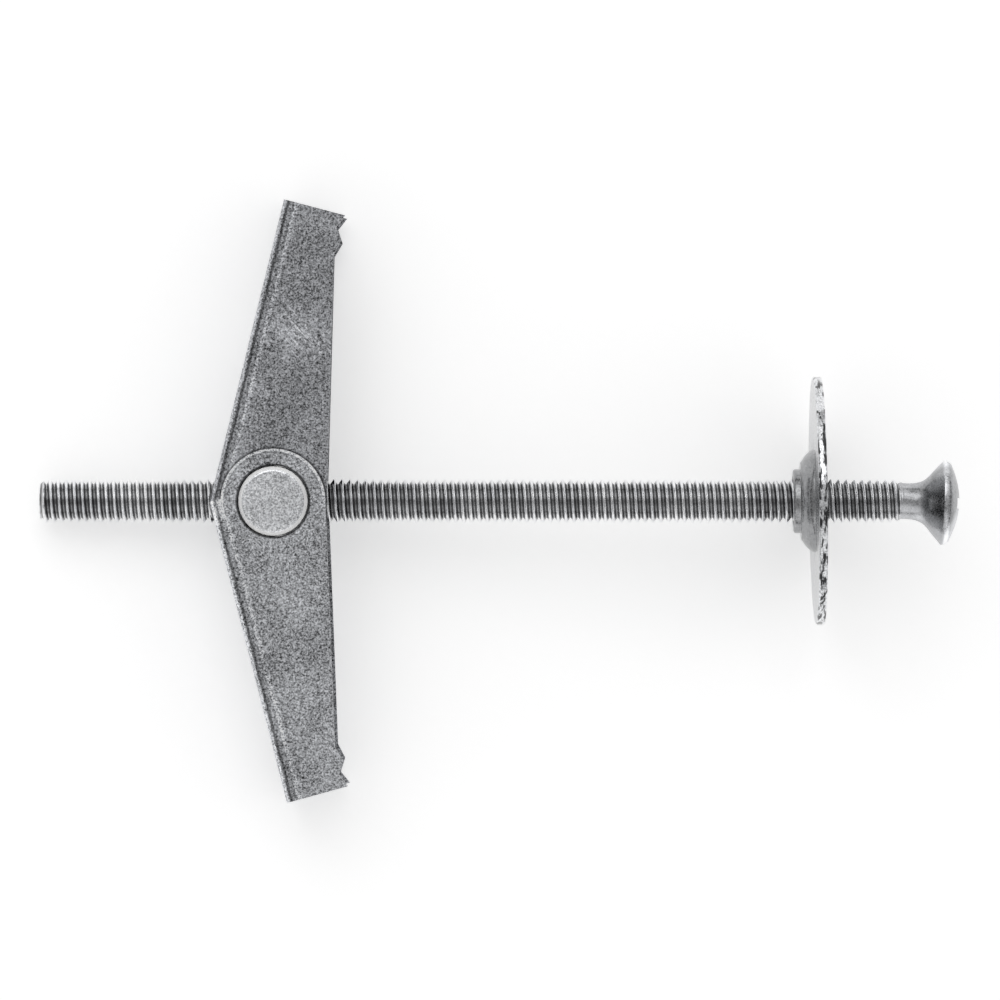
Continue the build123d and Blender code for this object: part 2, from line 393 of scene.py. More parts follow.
def plate_group():
    """Zinc plate: fine speckle, cloudy patches and short scuffs, as shade, roughness, height."""
    group = bpy.data.node_groups.new("zinc_plate_grain", "ShaderNodeTree")
    socket(group, "Vector", "NodeSocketVector", "INPUT")
    socket(group, "Grain", "NodeSocketFloat", "INPUT", 0.3)
    socket(group, "Patches", "NodeSocketFloat", "INPUT", 0.2)
    socket(group, "Scuffs", "NodeSocketFloat", "INPUT", 0.3)
    socket(group, "Shade", "NodeSocketFloat", "OUTPUT")
    socket(group, "Roughness", "NodeSocketFloat", "OUTPUT")
    socket(group, "Height", "NodeSocketFloat", "OUTPUT")
    given = group.nodes.new("NodeGroupInput")
    result = group.nodes.new("NodeGroupOutput")
    vector = given.outputs["Vector"]
    fine = add_noise(group, vector, 6000.0, 2.0, 0.8)
    coarse = add_noise(group, vector, 2600.0, 3.0, 0.65)
    speckle = add_math(group, "MULTIPLY_ADD", fine, 0.75, add_math(group, "MULTIPLY", coarse, 0.25))
    speckle = add_range(group, speckle, 0.38, 0.62, -1.0, 1.0)
    patch = add_range(group, add_noise(group, vector, 230.0, 4.0, 0.55), 0.36, 0.66, -1.0, 1.0)
    along = add_mapping(group, vector, "POINT", turn=(0.3, 0.2, 0.9), scale=(5200, 160, 900))
    line = add_range(group, add_noise(group, along, 1.0, 1.0, 0.5), 0.66, 0.74, 0.0, 1.0)
    where = add_range(group, add_noise(group, vector, 330.0, 2.0, 0.5), 0.52, 0.66, 0.0, 1.0)
    line = add_math(group, "MULTIPLY", line, where)
    shade = add_math(group, "MULTIPLY", speckle, given.outputs["Grain"])
    shade = add_math(group, "MULTIPLY_ADD", patch, given.outputs["Patches"], shade)
    shade = add_math(group, "MULTIPLY_ADD", line, given.outputs["Scuffs"], shade)
    shade = add_math(group, "MAXIMUM", add_math(group, "ADD", shade, 1.0), 0.05)
    group.links.new(shade, result.inputs["Shade"])
    rough = add_math(group, "MULTIPLY_ADD", speckle, 0.07, add_math(group, "MULTIPLY", patch, 0.05))
    group.links.new(rough, result.inputs["Roughness"])
    group.links.new(add_math(group, "MULTIPLY_ADD", speckle, 0.5, line), result.inputs["Height"])
    return group


def rubbed_group():
    """A rubbed patch: crossing scratches and bare spots that fade out round its middle."""
    group = bpy.data.node_groups.new("rubbed_patch", "ShaderNodeTree")
    socket(group, "Vector", "NodeSocketVector", "INPUT")
    socket(group, "Mask", "NodeSocketFloat", "OUTPUT")
    given = group.nodes.new("NodeGroupInput")
    result = group.nodes.new("NodeGroupOutput")
    vector = given.outputs["Vector"]
    measure = group.nodes.new("ShaderNodeVectorMath")
    measure.operation = "LENGTH"
    group.links.new(vector, measure.inputs[0])
    near = add_range(group, measure.outputs["Value"], 0.35, 1.0, 1.0, 0.0)
    streak = add_mapping(group, vector, "POINT", scale=(1.2, 14.0, 2.0))
    streak = add_range(group, add_noise(group, streak, 1.0, 2.0, 0.6), 0.53, 0.66, 0.0, 1.0)
    spot = add_range(group, add_noise(group, vector, 8.0, 3.0, 0.7), 0.50, 0.64, 0.0, 0.8)
    mask = add_math(group, "MULTIPLY", near, add_math(group, "MAXIMUM", streak, spot))
    group.links.new(mask, result.inputs["Mask"])
    return group


def make_painted_wing_light():
    """A wing's painted light: painted reflection bands along its web's bend, a painted highlight on the
    rim of its outer ear with painted shade just inside it, painted shadow where the other wing's ear
    lies on it, painted shade round the hole for the trunnion, and a painted highlight where the webs
    stop each other. The vector is in the wing's own frame, with X along the wing, Y towards its
    web and Z towards its inner ear."""
    group = bpy.data.node_groups.new("painted_wing_light_nodes", "ShaderNodeTree")
    socket(group, "Vector", "NodeSocketVector", "INPUT")
    socket(group, "Shade", "NodeSocketFloat", "OUTPUT")
    given = group.nodes.new("NodeGroupInput")
    result = group.nodes.new("NodeGroupOutput")
    vector = given.outputs["Vector"]
    part = group.nodes.new("ShaderNodeSeparateXYZ")
    group.links.new(vector, part.inputs[0])
    wander = add_noise(group, vector, 260.0, 1.0, 0.5)
    across = add_math(group, "MULTIPLY_ADD", wander, -0.24 * MM, part.outputs["Y"])
    depth = add_range(group, across, WEB_OFFSET - 0.12 * MM, WEB_OFFSET - 2.12 * MM, 0.0, 1.0)
    # painted reflection bands across the web's bend: light, dark, mid and light again
    bend_reflection_bands = group.nodes.new("ShaderNodeValToRGB")
    group.links.new(depth, bend_reflection_bands.inputs["Fac"])
    painted_light_marks = bend_reflection_bands.color_ramp.elements
    painted_light_marks[0].position, painted_light_marks[0].color = 0.0, (0.64, 0.64, 0.64, 1)
    painted_light_marks[1].position, painted_light_marks[1].color = 1.0, (0.5, 0.5, 0.5, 1)
    for place, shade in (
        (0.17, 0.60), (0.21, 0.20), (0.28, 0.22), (0.33, 0.50), (0.50, 0.44), (0.54, 0.78),
        (0.64, 0.72), (0.74, 0.48),
    ):
        painted_light_marks.new(place).color = (shade, shade, shade, 1)
    shade = add_math(group, "MULTIPLY", bend_reflection_bands.outputs["Color"], 2.0)
    flat = group.nodes.new("ShaderNodeVectorMath")
    flat.operation = "LENGTH"
    group.links.new(add_mapping(group, vector, "POINT", scale=(1, 1, 0)), flat.inputs[0])
    reach = flat.outputs["Value"]
    inner = add_math(group, "GREATER_THAN", part.outputs["Z"], 0.0)
    outer = add_math(group, "SUBTRACT", 1.0, inner)
    # painted shadow where the other wing's outer ear lies over this wing
    seam_shadow = add_range(group, reach, EAR_RADIUS + 0.10 * MM, EAR_RADIUS + 0.26 * MM, -0.7, 0.0)
    seam_shadow = add_math(group, "MULTIPLY", seam_shadow, inner)
    # painted highlight on the rim of the outer ear
    rim = add_range(group, reach, EAR_RADIUS - 0.26 * MM, EAR_RADIUS - 0.16 * MM, 0.0, 0.9)
    free = add_range(group, part.outputs["X"], 0.0, 1.2 * MM, 1.0, 0.0)
    rim = add_math(group, "MULTIPLY", add_math(group, "MULTIPLY", rim, free), outer)
    # painted shade just inside the outer ear's rim
    groove_shade = add_range(group, reach, EAR_RADIUS - 0.40 * MM, EAR_RADIUS - 0.30 * MM, 0.0, -0.35)
    inside = add_math(group, "LESS_THAN", reach, EAR_RADIUS - 0.26 * MM)
    groove_shade = add_math(group, "MULTIPLY", add_math(group, "MULTIPLY", groove_shade, inside), free)
    # painted shade round the hole for the trunnion
    hole = add_range(group, reach, HOLE_RADIUS + 0.10 * MM, HOLE_RADIUS + 0.22 * MM, -0.85, 0.0)
    half = math.radians(OPEN_ANGLE)
    height = add_math(group, "MULTIPLY", part.outputs["X"], math.sin(half))
    height = add_math(group, "MULTIPLY_ADD", part.outputs["Y"], math.cos(half), height)
    # painted highlight where the webs stop each other
    butt = add_range(group, height, 0.09 * MM, 0.16 * MM, 1.3, 0.0)
    past_ear = add_math(group, "GREATER_THAN", reach, EAR_RADIUS)
    butt = add_math(group, "MULTIPLY", butt, past_ear)
    painted_ear_light = add_math(group, "ADD", add_math(group, "ADD", seam_shadow, rim), hole)
    painted_ear_light = add_math(group, "MULTIPLY_ADD", butt, outer, painted_ear_light)
    painted_ear_light = add_math(group, "MULTIPLY_ADD", groove_shade, outer, painted_ear_light)
    painted_ear_light = add_math(group, "ADD", painted_ear_light, 1.0)
    group.links.new(add_math(group, "MULTIPLY", shade, painted_ear_light), result.inputs["Shade"])
    return group


def group_node(tree, name, make):
    node = tree.nodes.new("ShaderNodeGroup")
    node.node_tree = bpy.data.node_groups.get(name) or make()
    return node


def torn_rim_light_group():
    """Sheared metal: painted highlight on its smooth stretches, broken by painted shade on its torn
    ones.
    """
    group = bpy.data.node_groups.new("torn_edge_painted_light", "ShaderNodeTree")
    socket(group, "Vector", "NodeSocketVector", "INPUT")
    socket(group, "Edge", "NodeSocketFloat", "INPUT", 0.0)
    socket(group, "Shade", "NodeSocketFloat", "OUTPUT")
    given = group.nodes.new("NodeGroupInput")
    result = group.nodes.new("NodeGroupOutput")
    drawn = add_mapping(group, given.outputs["Vector"], "POINT", scale=(2600, 620, 620))
    tear = add_range(group, add_noise(group, drawn, 1.0, 4.0, 0.7), 0.50, 0.55, 1.6, 0.12)
    tear = add_math(group, "SUBTRACT", tear, 1.0)
    shade = add_math(group, "MULTIPLY_ADD", tear, given.outputs["Edge"], 1.0)
    group.links.new(shade, result.inputs["Shade"])
    return group


def metal(
    name, base, rough, grain, patches, scuffs, masks=(), rubbed=None, pressed=None, torn=None
):
    """Plated steel. masks are (attribute, shade at 0, shade at 1) laid over the plate's shade, each of
    them painted shade, painted highlight or both; rubbed is where a rubbed patch is, how it is turned,
    its reach and how much paler it is; pressed is how a wing's own frame is turned, for its painted
    bend reflection, ear shadow and highlights; torn is the attribute that picks out the sheared rim,
    for its painted highlight and shade."""
    material = bpy.data.materials.new(name)
    material.use_nodes = True
    tree = material.node_tree
    shader = tree.nodes["Principled BSDF"]
    shader.inputs["Metallic"].default_value = 1.0
    where = tree.nodes.new("ShaderNodeTexCoord").outputs["Object"]
    plate = group_node(tree, "zinc_plate_grain", plate_group)
    tree.links.new(where, plate.inputs["Vector"])
    plate.inputs["Grain"].default_value = grain
    plate.inputs["Patches"].default_value = patches
    plate.inputs["Scuffs"].default_value = scuffs
    shade = plate.outputs["Shade"]
    # each mask lays painted shade, a painted highlight or both over the plate's shade
    for attribute, at_zero, at_one in masks:
        read = tree.nodes.new("ShaderNodeAttribute")
        read.attribute_name = attribute
        factor = add_range(tree, read.outputs["Fac"], 0.0, 1.0, at_zero, at_one)
        shade = add_math(tree, "MULTIPLY", shade, factor)
    # painted highlight and painted shade along the torn rim
    if torn:
        read = tree.nodes.new("ShaderNodeAttribute")
        read.attribute_name = torn
        tear = group_node(tree, "torn_edge_painted_light", torn_rim_light_group)
        tree.links.new(where, tear.inputs["Vector"])
        tree.links.new(read.outputs["Fac"], tear.inputs["Edge"])
        shade = add_math(tree, "MULTIPLY", shade, tear.outputs["Shade"])
    # the wing's painted bend reflection, ear shadow, shade and highlights
    if pressed:
        framed = add_mapping(tree, where, "TEXTURE", BOLT.translation, pressed)
        painted_light_marks = group_node(tree, "painted_wing_light_nodes", make_painted_wing_light)
        tree.links.new(framed, painted_light_marks.inputs["Vector"])
        shade = add_math(tree, "MULTIPLY", shade, painted_light_marks.outputs["Shade"])
    if rubbed:
        place, turn, reach, paler = rubbed
        centred = add_mapping(tree, where, "TEXTURE", place, turn, reach)
        patch = group_node(tree, "rubbed_patch", rubbed_group)
        tree.links.new(centred, patch.inputs["Vector"])
        shade = add_math(tree, "MULTIPLY_ADD", patch.outputs["Mask"], paler, shade)
    mix = tree.nodes.new("ShaderNodeVectorMath")
    mix.operation = "SCALE"
    mix.inputs[0].default_value = base
    tree.links.new(shade, mix.inputs["Scale"])
    tree.links.new(mix.outputs["Vector"], shader.inputs["Base Color"])
    rough_sum = add_math(tree, "ADD", plate.outputs["Roughness"], rough)
    tree.links.new(rough_sum, shader.inputs["Roughness"])
    raised = tree.nodes.new("ShaderNodeBump")
    raised.inputs["Strength"].default_value = 0.35
    raised.inputs["Distance"].default_value = 0.004 * MM
    tree.links.new(plate.outputs["Height"], raised.inputs["Height"])
    tree.links.new(raised.outputs["Normal"], shader.inputs["Normal"])
    return material


def dress(piece, material, body, node):
    if not piece.data.materials:
        piece.data.materials.append(material)
    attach(piece, body)
    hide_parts(node)


# --- screw ----------------------------------------------------------------------------------
def thread_profile(size):
    """One pitch of the thread as (distance along, radius): root, flank, crest, flank, root."""
    flank = [(0.08, 0.05), (0.16, 0.25), (0.30, 0.60), (0.42, 0.90)]
    shares = [(0, 0)] + flank + [(0.5, 1)] + [(1 - at, height) for at, height in flank[::-1]] + [(1, 0)]
    deep = size.crest_radius - size.root_radius
    return [(share * size.pitch, size.root_radius + height * deep) for share, height in shares]


def make_thread(size):
    """The thread, wound a little longer than needed along X."""
    start = SCREW_LOW.x - size.pitch
    turns = math.ceil((size.thread_end - start) / size.pitch) + 2
    piece = profile("screw_threaded", [(r, 0, along) for along, r in thread_profile(size)])
    apply_modifier(
        piece, "SCREW", axis="Z", angle=2 * math.pi, screw_offset=size.pitch, iterations=turns,
        steps=size.thread_steps, render_steps=size.thread_steps, use_merge_vertices=True,
        merge_threshold=1e-8,
    )
    onto_x = Matrix.Rotation(math.pi / 2, 4, "Y")
    piece.matrix_world = Matrix.Translation((start - size.pitch / 2, 0, 0)) @ onto_x
    make_active(piece)
    bpy.ops.object.transform_apply()
    tidy_mesh(piece)
    return piece


def cut_thread(piece, size):
    """The turned chamfer at the tip, the thread's run-out at the neck, and both square cuts."""
    tip, end = SCREW_LOW.x, size.thread_end
    tip_radius, tip_slope = size.crest_radius - 0.42 * MM, 0.9
    for vertex in piece.data.vertices:
        x, radius = vertex.co.x, math.hypot(vertex.co.y, vertex.co.z)
        wanted = min(radius, tip_radius + max(x - tip, 0.0) * tip_slope)
        fade = ramp(x, end - 1.4 * size.pitch, end - 0.1 * size.pitch)
        wanted += (size.neck_radius - wanted) * fade
        vertex.co.y *= wanted / radius
        vertex.co.z *= wanted / radius
    make_active(piece)
    bpy.ops.object.mode_set(mode="EDIT")
    for place, facing in ((tip, -1), (end, 1)):
        bpy.ops.mesh.select_all(action="SELECT")
        bpy.ops.mesh.bisect(
            plane_co=(place, 0, 0), plane_no=(facing, 0, 0), use_fill=True, clear_outer=True,
            threshold=1e-7,
        )
    bpy.ops.object.mode_set(mode="OBJECT")


def head_outline(size):
    """The neck, the hollow flare and the dome as (x, radius), from the thread's end to the top."""
    rim, radius, neck = size.head_rim, size.head_radius, size.neck_radius
    out, back = radius - neck, rim - size.head_start
    points = [(size.thread_end + NECK_BLEND, neck)]
    for along, grown in (
        (-0.26, 0.01), (-0.13, 0.03), (0.0, 0.07), (0.14, 0.13), (0.26, 0.22), (0.37, 0.33),
        (0.46, 0.44), (0.56, 0.56), (0.66, 0.675), (0.76, 0.79), (0.85, 0.885),
    ):
        points.append((size.head_start + along * back, neck + grown * out))
    edge = rim - 0.15 * MM
    points += [(edge - 0.12 * MM, radius - 0.17 * MM), (edge - 0.04 * MM, radius - 0.08 * MM)]
    points += [(edge, radius - 0.03 * MM), (edge + 0.05 * MM, radius), (rim, radius - 0.005 * MM)]
    points += [(rim + 0.16 * MM, radius - 0.05 * MM), (rim + 0.33 * MM, radius - 0.14 * MM)]
    shoulder = (rim + 0.52 * MM, radius - 0.28 * MM)
    points.append(shoulder)
    drop = rim + DOME_RISE - shoulder[0]
    for i in range(1, 13):
        share = 1 - i / 12.6
        points.append((shoulder[0] + drop * (1 - share * share), shoulder[1] * share))
    return points


def extrude_head(piece, size):
    """Carry the neck's end face along the head's outline and close it at the top."""
    make_active(piece)
    bpy.ops.object.mode_set(mode="EDIT")
    bpy.ops.mesh.select_mode(type="FACE")
    bpy.ops.mesh.select_all(action="DESELECT")
    bpy.ops.object.mode_set(mode="OBJECT")
    x, radius = size.thread_end, size.neck_radius
    caps = 0
    for polygon in piece.data.polygons:
        polygon.select = abs(polygon.center.x - x) < SAME_PLACE and abs(polygon.normal.x) > 0.99
        caps += polygon.select
    if caps == 0:
        raise RuntimeError("the neck has no end face to carry on")
    bpy.ops.object.mode_set(mode="EDIT")
    for next_x, next_radius in head_outline(size):
        grow_ring(x, radius, next_x, next_radius)
        x, radius = next_x, next_radius
    bpy.ops.mesh.poke(offset=0)
    bpy.ops.object.mode_set(mode="OBJECT")
    pivot = Vector((size.thread_end, 0, 0))
    for vertex in piece.data.vertices:
        share = ramp(vertex.co.x, size.thread_end, size.thread_end + NECK_BLEND)
        if share > 0:
            turn = Matrix.Rotation(math.radians(HEAD_LEAN) * share, 3, "Z")
            vertex.co = pivot + turn @ (vertex.co - pivot)


def cut_recess(piece, size):
    """The cross recess: two tapering slots sunk into the dome."""
    top = size.head_rim + DOME_RISE
    high = top + 0.5 * MM
    low = top - size.recess_depth
    span_left, slot_left = 0.43, 0.8
    slots = []
    for turn in (0, math.pi / 2):
        deselect_all()
        bpy.ops.mesh.primitive_cube_add(size=1, location=((low + high) / 2, 0, 0))
        slot = bpy.context.active_object
        slot.scale = (high - low, size.recess_span, size.recess_slot)
        bpy.ops.object.transform_apply()
        for vertex in slot.data.vertices:
            if vertex.co.x < top - SAME_PLACE:
                vertex.co.y *= span_left
                vertex.co.z *= slot_left
        slot.data.transform(Matrix.Rotation(turn, 4, "X"))
        slots.append(slot)
    apply_modifier(slots[0], "BOOLEAN", operation="UNION", object=slots[1], solver="EXACT")
    lean(slots[0], HEAD_LEAN, size.thread_end)
    apply_modifier(piece, "BOOLEAN", operation="DIFFERENCE", object=slots[0], solver="EXACT")
    for slot in slots:
        bpy.data.objects.remove(slot)


class MESH_OT_toggle_bolt_screw(bpy.types.Operator):
    """Make the threaded screw with its neck, raised countersunk head and cross recess"""

    bl_idname = "mesh.toggle_bolt_screw"
    bl_label = "Screw"

    def execute(self, context):
        size = sizes()
        piece = make_thread(size)
        cut_thread(piece, size)
        extrude_head(piece, size)
        tidy_mesh(piece)
        cut_recess(piece, size)
        smooth(piece, 40)
        neck_start = size.thread_end - 0.6 * size.pitch

        # Painted shade and painted highlight on the thread: the lower flanks are painted nearly black,
        # a painted highlight runs along each root's bottom, and the crests, the tip and the neck keep
        # the full colour.
        def crest(vertex):
            if vertex.co.x > neck_start or vertex.co.x < SCREW_LOW.x + 0.01 * MM:
                return 1.0
            radius = math.hypot(vertex.co.y, vertex.co.z)
            height = ramp(radius, size.root_radius, size.crest_radius)
            return max(0.62 * (1 - ramp(height, 0.0, 0.22)), ramp(height, 0.28, 0.82))

        # Painted shade: the hollow flare under the head is painted down to 0.85 of its colour.
        def painted_flare_shade(vertex):
            flare = ramp(vertex.co.x, size.head_start, size.head_start + 0.5 * MM)
            return flare * (1 - ramp(vertex.co.x, size.head_rim - 0.1 * MM, size.head_rim))

        # A painted highlight: a band round the head's rim is painted up to 1.8 times as bright.
        def painted_rim_highlight(vertex):
            near = abs(vertex.co.x - (size.head_rim + 0.1 * MM))
            return 1 - ramp(near, 0.1 * MM, 0.3 * MM)

        set_mask(piece, "crest", crest)
        set_mask(piece, "painted_flare_shade", painted_flare_shade)
        set_mask(piece, "painted_rim_highlight", painted_rim_highlight)
        paint = finish()
        piece.data.materials.append(
            metal(
                "bright_zinc_on_rolled_thread", paint.thread,
                rough=0.22, grain=0.15, patches=0.22, scuffs=0.25,
                # painted shade down the flanks, from 0.03 of the colour up to the full colour on the
                # crests
                masks=[("crest", 0.03, 1.0)],
            )
        )
        piece.data.materials.append(
            metal(
                "bright_zinc_on_formed_head", paint.head,
                rough=0.3, grain=0.2, patches=0.5, scuffs=0.5,
                masks=[("painted_flare_shade", 1.0, 0.85), ("painted_rim_highlight", 1.0, 1.8)],
            )
        )
        for polygon in piece.data.polygons:
            polygon.material_index = int(polygon.center.x > neck_start)
        place_on_bolt(piece)
        dress(piece, None, "screw", "screw")
        return {"FINISHED"}


# --- washer ---------------------------------------------------------------------------------
def washer_outline(size):
    """The pressed section as (x, radius), from the collar's bore edge out to the rim and back."""
    face = size.washer_face
    back = face + size.washer_sheet
    dish_end = face - size.dish_rise
    collar_end = dish_end - size.collar_rise
    bore, collar, dish_end_r = size.bore_radius, size.collar_radius, size.dish_end_radius
    seat, dish, rim = size.seat_radius, size.dish_radius, size.washer_radius
    lip, press, round_off = 0.22 * MM, 0.25 * MM, 0.2 * MM
    fillet, crease, corner = 0.1 * MM, 0.12 * MM, 0.08 * MM
    points = [(collar_end + fillet, bore)]
    points += arc((collar_end + fillet, bore + fillet), fillet, 270, 180, 4)[1:]
    points += arc((collar_end + lip, collar - lip), lip, 180, 90, 6)
    points.append((dish_end - fillet, collar))
    points += arc((dish_end - fillet, collar + fillet), fillet, 270, 360, 4)[1:]
    points += arc((dish_end + press, dish_end_r - press), press, 180, 120, 5)
    # the dish's bulging side, as a curve through its middle
    (x0, r0), (x2, r2) = points[-1], (face - crease, dish)
    x1, r1 = (x0 + x2) / 2 - crease, (r0 + r2) / 2 + 0.16 * MM
    for i in range(1, 11):
        t = i / 10
        a, b, c = (1 - t) ** 2, 2 * t * (1 - t), t * t
        points.append((a * x0 + b * x1 + c * x2, a * r0 + b * r1 + c * r2))
    points += arc((face - crease, dish + crease), crease, 290, 360, 4)
    for i in range(1, 8):
        points.append((face, dish + crease + i * (rim - round_off - dish - crease) / 8))
    points += arc((face + round_off, rim - round_off), round_off, 180, 90, 6)
    points += arc((back - corner, rim - corner), corner, 90, 0, 3)
    for share in (0.97, 0.8, 0.6, 0.4, 0.2):
        points.append((back, seat + share * (rim - seat)))
    points.append((back, seat + 0.15 * MM))
    points.append((back - 0.15 * MM, seat - 0.05 * MM))
    seat_end = back - (seat - bore)
    points += [(seat_end + 0.05 * MM, bore + 0.05 * MM), (seat_end - 0.05 * MM, bore)]
    points.append(points[0])
    return points


class MESH_OT_toggle_bolt_washer(bpy.types.Operator):
    """Make the pressed washer with its dish and collar"""

    bl_idname = "mesh.toggle_bolt_washer"
    bl_label = "Washer"

    def execute(self, context):
        size = sizes()
        piece = lathe("washer_pressed", washer_outline(size), 160)
        tidy_mesh(piece)
        back = size.washer_face + size.washer_sheet
        collar_end = size.washer_face - size.dish_rise - size.collar_rise

        # Painted shade: the dish is painted down to 0.62 of the flange's colour.
        def dish(vertex):
            radius = math.hypot(vertex.co.y, vertex.co.z)
            return 1 - ramp(radius, size.dish_radius, size.dish_radius + 0.3 * MM)

        # The sheared rim's tearing is real; its bright stretches are painted highlight and its dark
        # torn stretches painted shade.
        def rim(vertex):
            radius = math.hypot(vertex.co.y, vertex.co.z)
            return ramp(radius, size.washer_radius - 0.22 * MM, size.washer_radius - 0.1 * MM)

        set_mask(piece, "dish", dish)
        set_mask(piece, "rim", rim)
        lean(piece, WASHER_LEAN, (collar_end + back) / 2)
        smooth(piece, 40)
        place_on_bolt(piece)
        plate = metal(
            "bright_zinc_on_sheet", finish().washer,
            rough=0.2, grain=0.3, patches=0.2, scuffs=0.35,
            # painted shade on the dish
            masks=[("dish", 1.0, 0.62)], torn="rim",
        )
        dress(piece, plate, "washer", "washer")
        return {"FINISHED"}


# --- wings ----------------------------------------------------------------------------------
class MESH_OT_toggle_bolt_wings(bpy.types.Operator):
    """Make both wings from the pressed channels, with sheared edges"""

    bl_idname = "mesh.toggle_bolt_wings"
    bl_label = "Wings"

    def execute(self, context):
        paint = finish()
        place = BOLT @ Vector((2.9 * MM, 14.4 * MM, 4.8 * MM))
        turn = (BOLT.to_3x3() @ Matrix.Rotation(math.radians(-48), 3, "Z")).to_euler()
        reach, paler = (4.2 * MM, 2.6 * MM, 2.6 * MM), 2.4
        rubbed = (place, turn, reach, paler)
        # painted highlight along the wings' sharp edges, up to 1.7 times the plate's colour
        edge = [("edge", 1.0, 1.7)]
        along = Matrix.Rotation(math.radians(OPEN_ANGLE), 3, "Z")
        askew = BOLT.to_3x3() @ Matrix.Rotation(math.radians(TOGGLE_LEAN), 3, "Z")
        over = Matrix.Rotation(math.pi, 3, "X")
        # each wing's frame turn carries its painted bend reflection, ear shadow, shade and highlights
        upper = metal(
            "dull_zinc_on_upper_wing", paint.upper_wing,
            rough=0.3, grain=0.9, patches=0.1, scuffs=0.6,
            masks=edge, rubbed=rubbed, pressed=(askew @ along).to_euler(),
        )
        lower = metal(
            "dull_zinc_on_lower_wing", paint.lower_wing,
            rough=0.3, grain=0.85, patches=0.12, scuffs=0.6,
            masks=edge, pressed=(askew @ over @ along).to_euler(),
        )
        for name, plate in (("wing_upper", upper), ("wing_lower", lower)):
            piece = copy_of_node(name, name + "_pressed")
            round_edges(piece, sizes().edge_round, 40)
            dress(piece, plate, name, name)
        return {"FINISHED"}


# --- trunnion nut ---------------------------------------------------------------------------
class MESH_OT_toggle_bolt_trunnion(bpy.types.Operator):
    """Make the trunnion nut that the wings turn on"""

    bl_idname = "mesh.toggle_bolt_trunnion"
    bl_label = "Trunnion nut"

    def execute(self, context):
        piece = copy_of_node("trunnion_nut", "trunnion_nut_turned")
        round_edges(piece, sizes().trunnion_round, 30)
        plate = metal(
            "bright_zinc_on_turned_end", finish().trunnion,
            rough=0.33, grain=0.5, patches=0.06, scuffs=0.1,
        )
        # Painted highlight: the chamfer round each end is painted near white.
        ring = metal(
            "painted_highlight_on_turned_chamfer", finish().chamfer,
            rough=0.7, grain=0.05, patches=0.05, scuffs=0.0,
        )
        piece.data.materials.append(plate)
        piece.data.materials.append(ring)
        for polygon in piece.data.polygons:
            slope = abs(polygon.normal.dot(TRUNNION_AXIS))
            polygon.material_index = int(CHAMFER_SLOPE[0] < slope < CHAMFER_SLOPE[1])
        dress(piece, None, "toggle", "trunnion_nut")
        return {"FINISHED"}


# --- torsion spring -------------------------------------------------------------------------
def wire(name, runs, radius):
    """Round wire along runs of (point, thickness), with closed ends."""
    curve = bpy.data.curves.new(name, "CURVE")
    curve.dimensions = "3D"
    curve.bevel_depth = radius
    curve.bevel_resolution = 4
    curve.use_fill_caps = True
    for run in runs:
        spline = curve.splines.new("POLY")
        spline.points.add(len(run) - 1)
        for point, (place, thickness) in zip(spline.points, run):
            point.co = (*place, 1)
            point.radius = thickness
    piece = link(bpy.data.objects.new(name, curve))
    bpy.ops.object.convert(target="MESH")
    piece = bpy.context.active_object
    tidy_mesh(piece)
    lean(piece, TOGGLE_LEAN, 0)
    smooth(piece, 50)
    place_on_bolt(piece)
    return piece


def leg_on_web(size, reach):
    """Where a leg ends on its web, and the turn in radians at which it leaves the coil."""
    far = math.hypot(reach, size.web_rest)
    end = math.radians(OPEN_ANGLE) + math.atan2(size.web_rest, reach)
    return (far * math.cos(end), far * math.sin(end)), end + math.acos(size.coil_radius / far)


def turn_points(size, start, end, z_start, z_end, side, thickness):
    """Points along a coil from one turn in radians to another."""
    steps = max(2, math.ceil(abs(end - start) / math.radians(6)))
    points = []
    for i in range(steps + 1):
        t = start + (end - start) * i / steps
        z = z_start + (z_end - z_start) * i / steps
        place = (size.coil_radius * math.cos(t), size.coil_radius * math.sin(t), side * z)
        points.append((place, thickness))
    return points


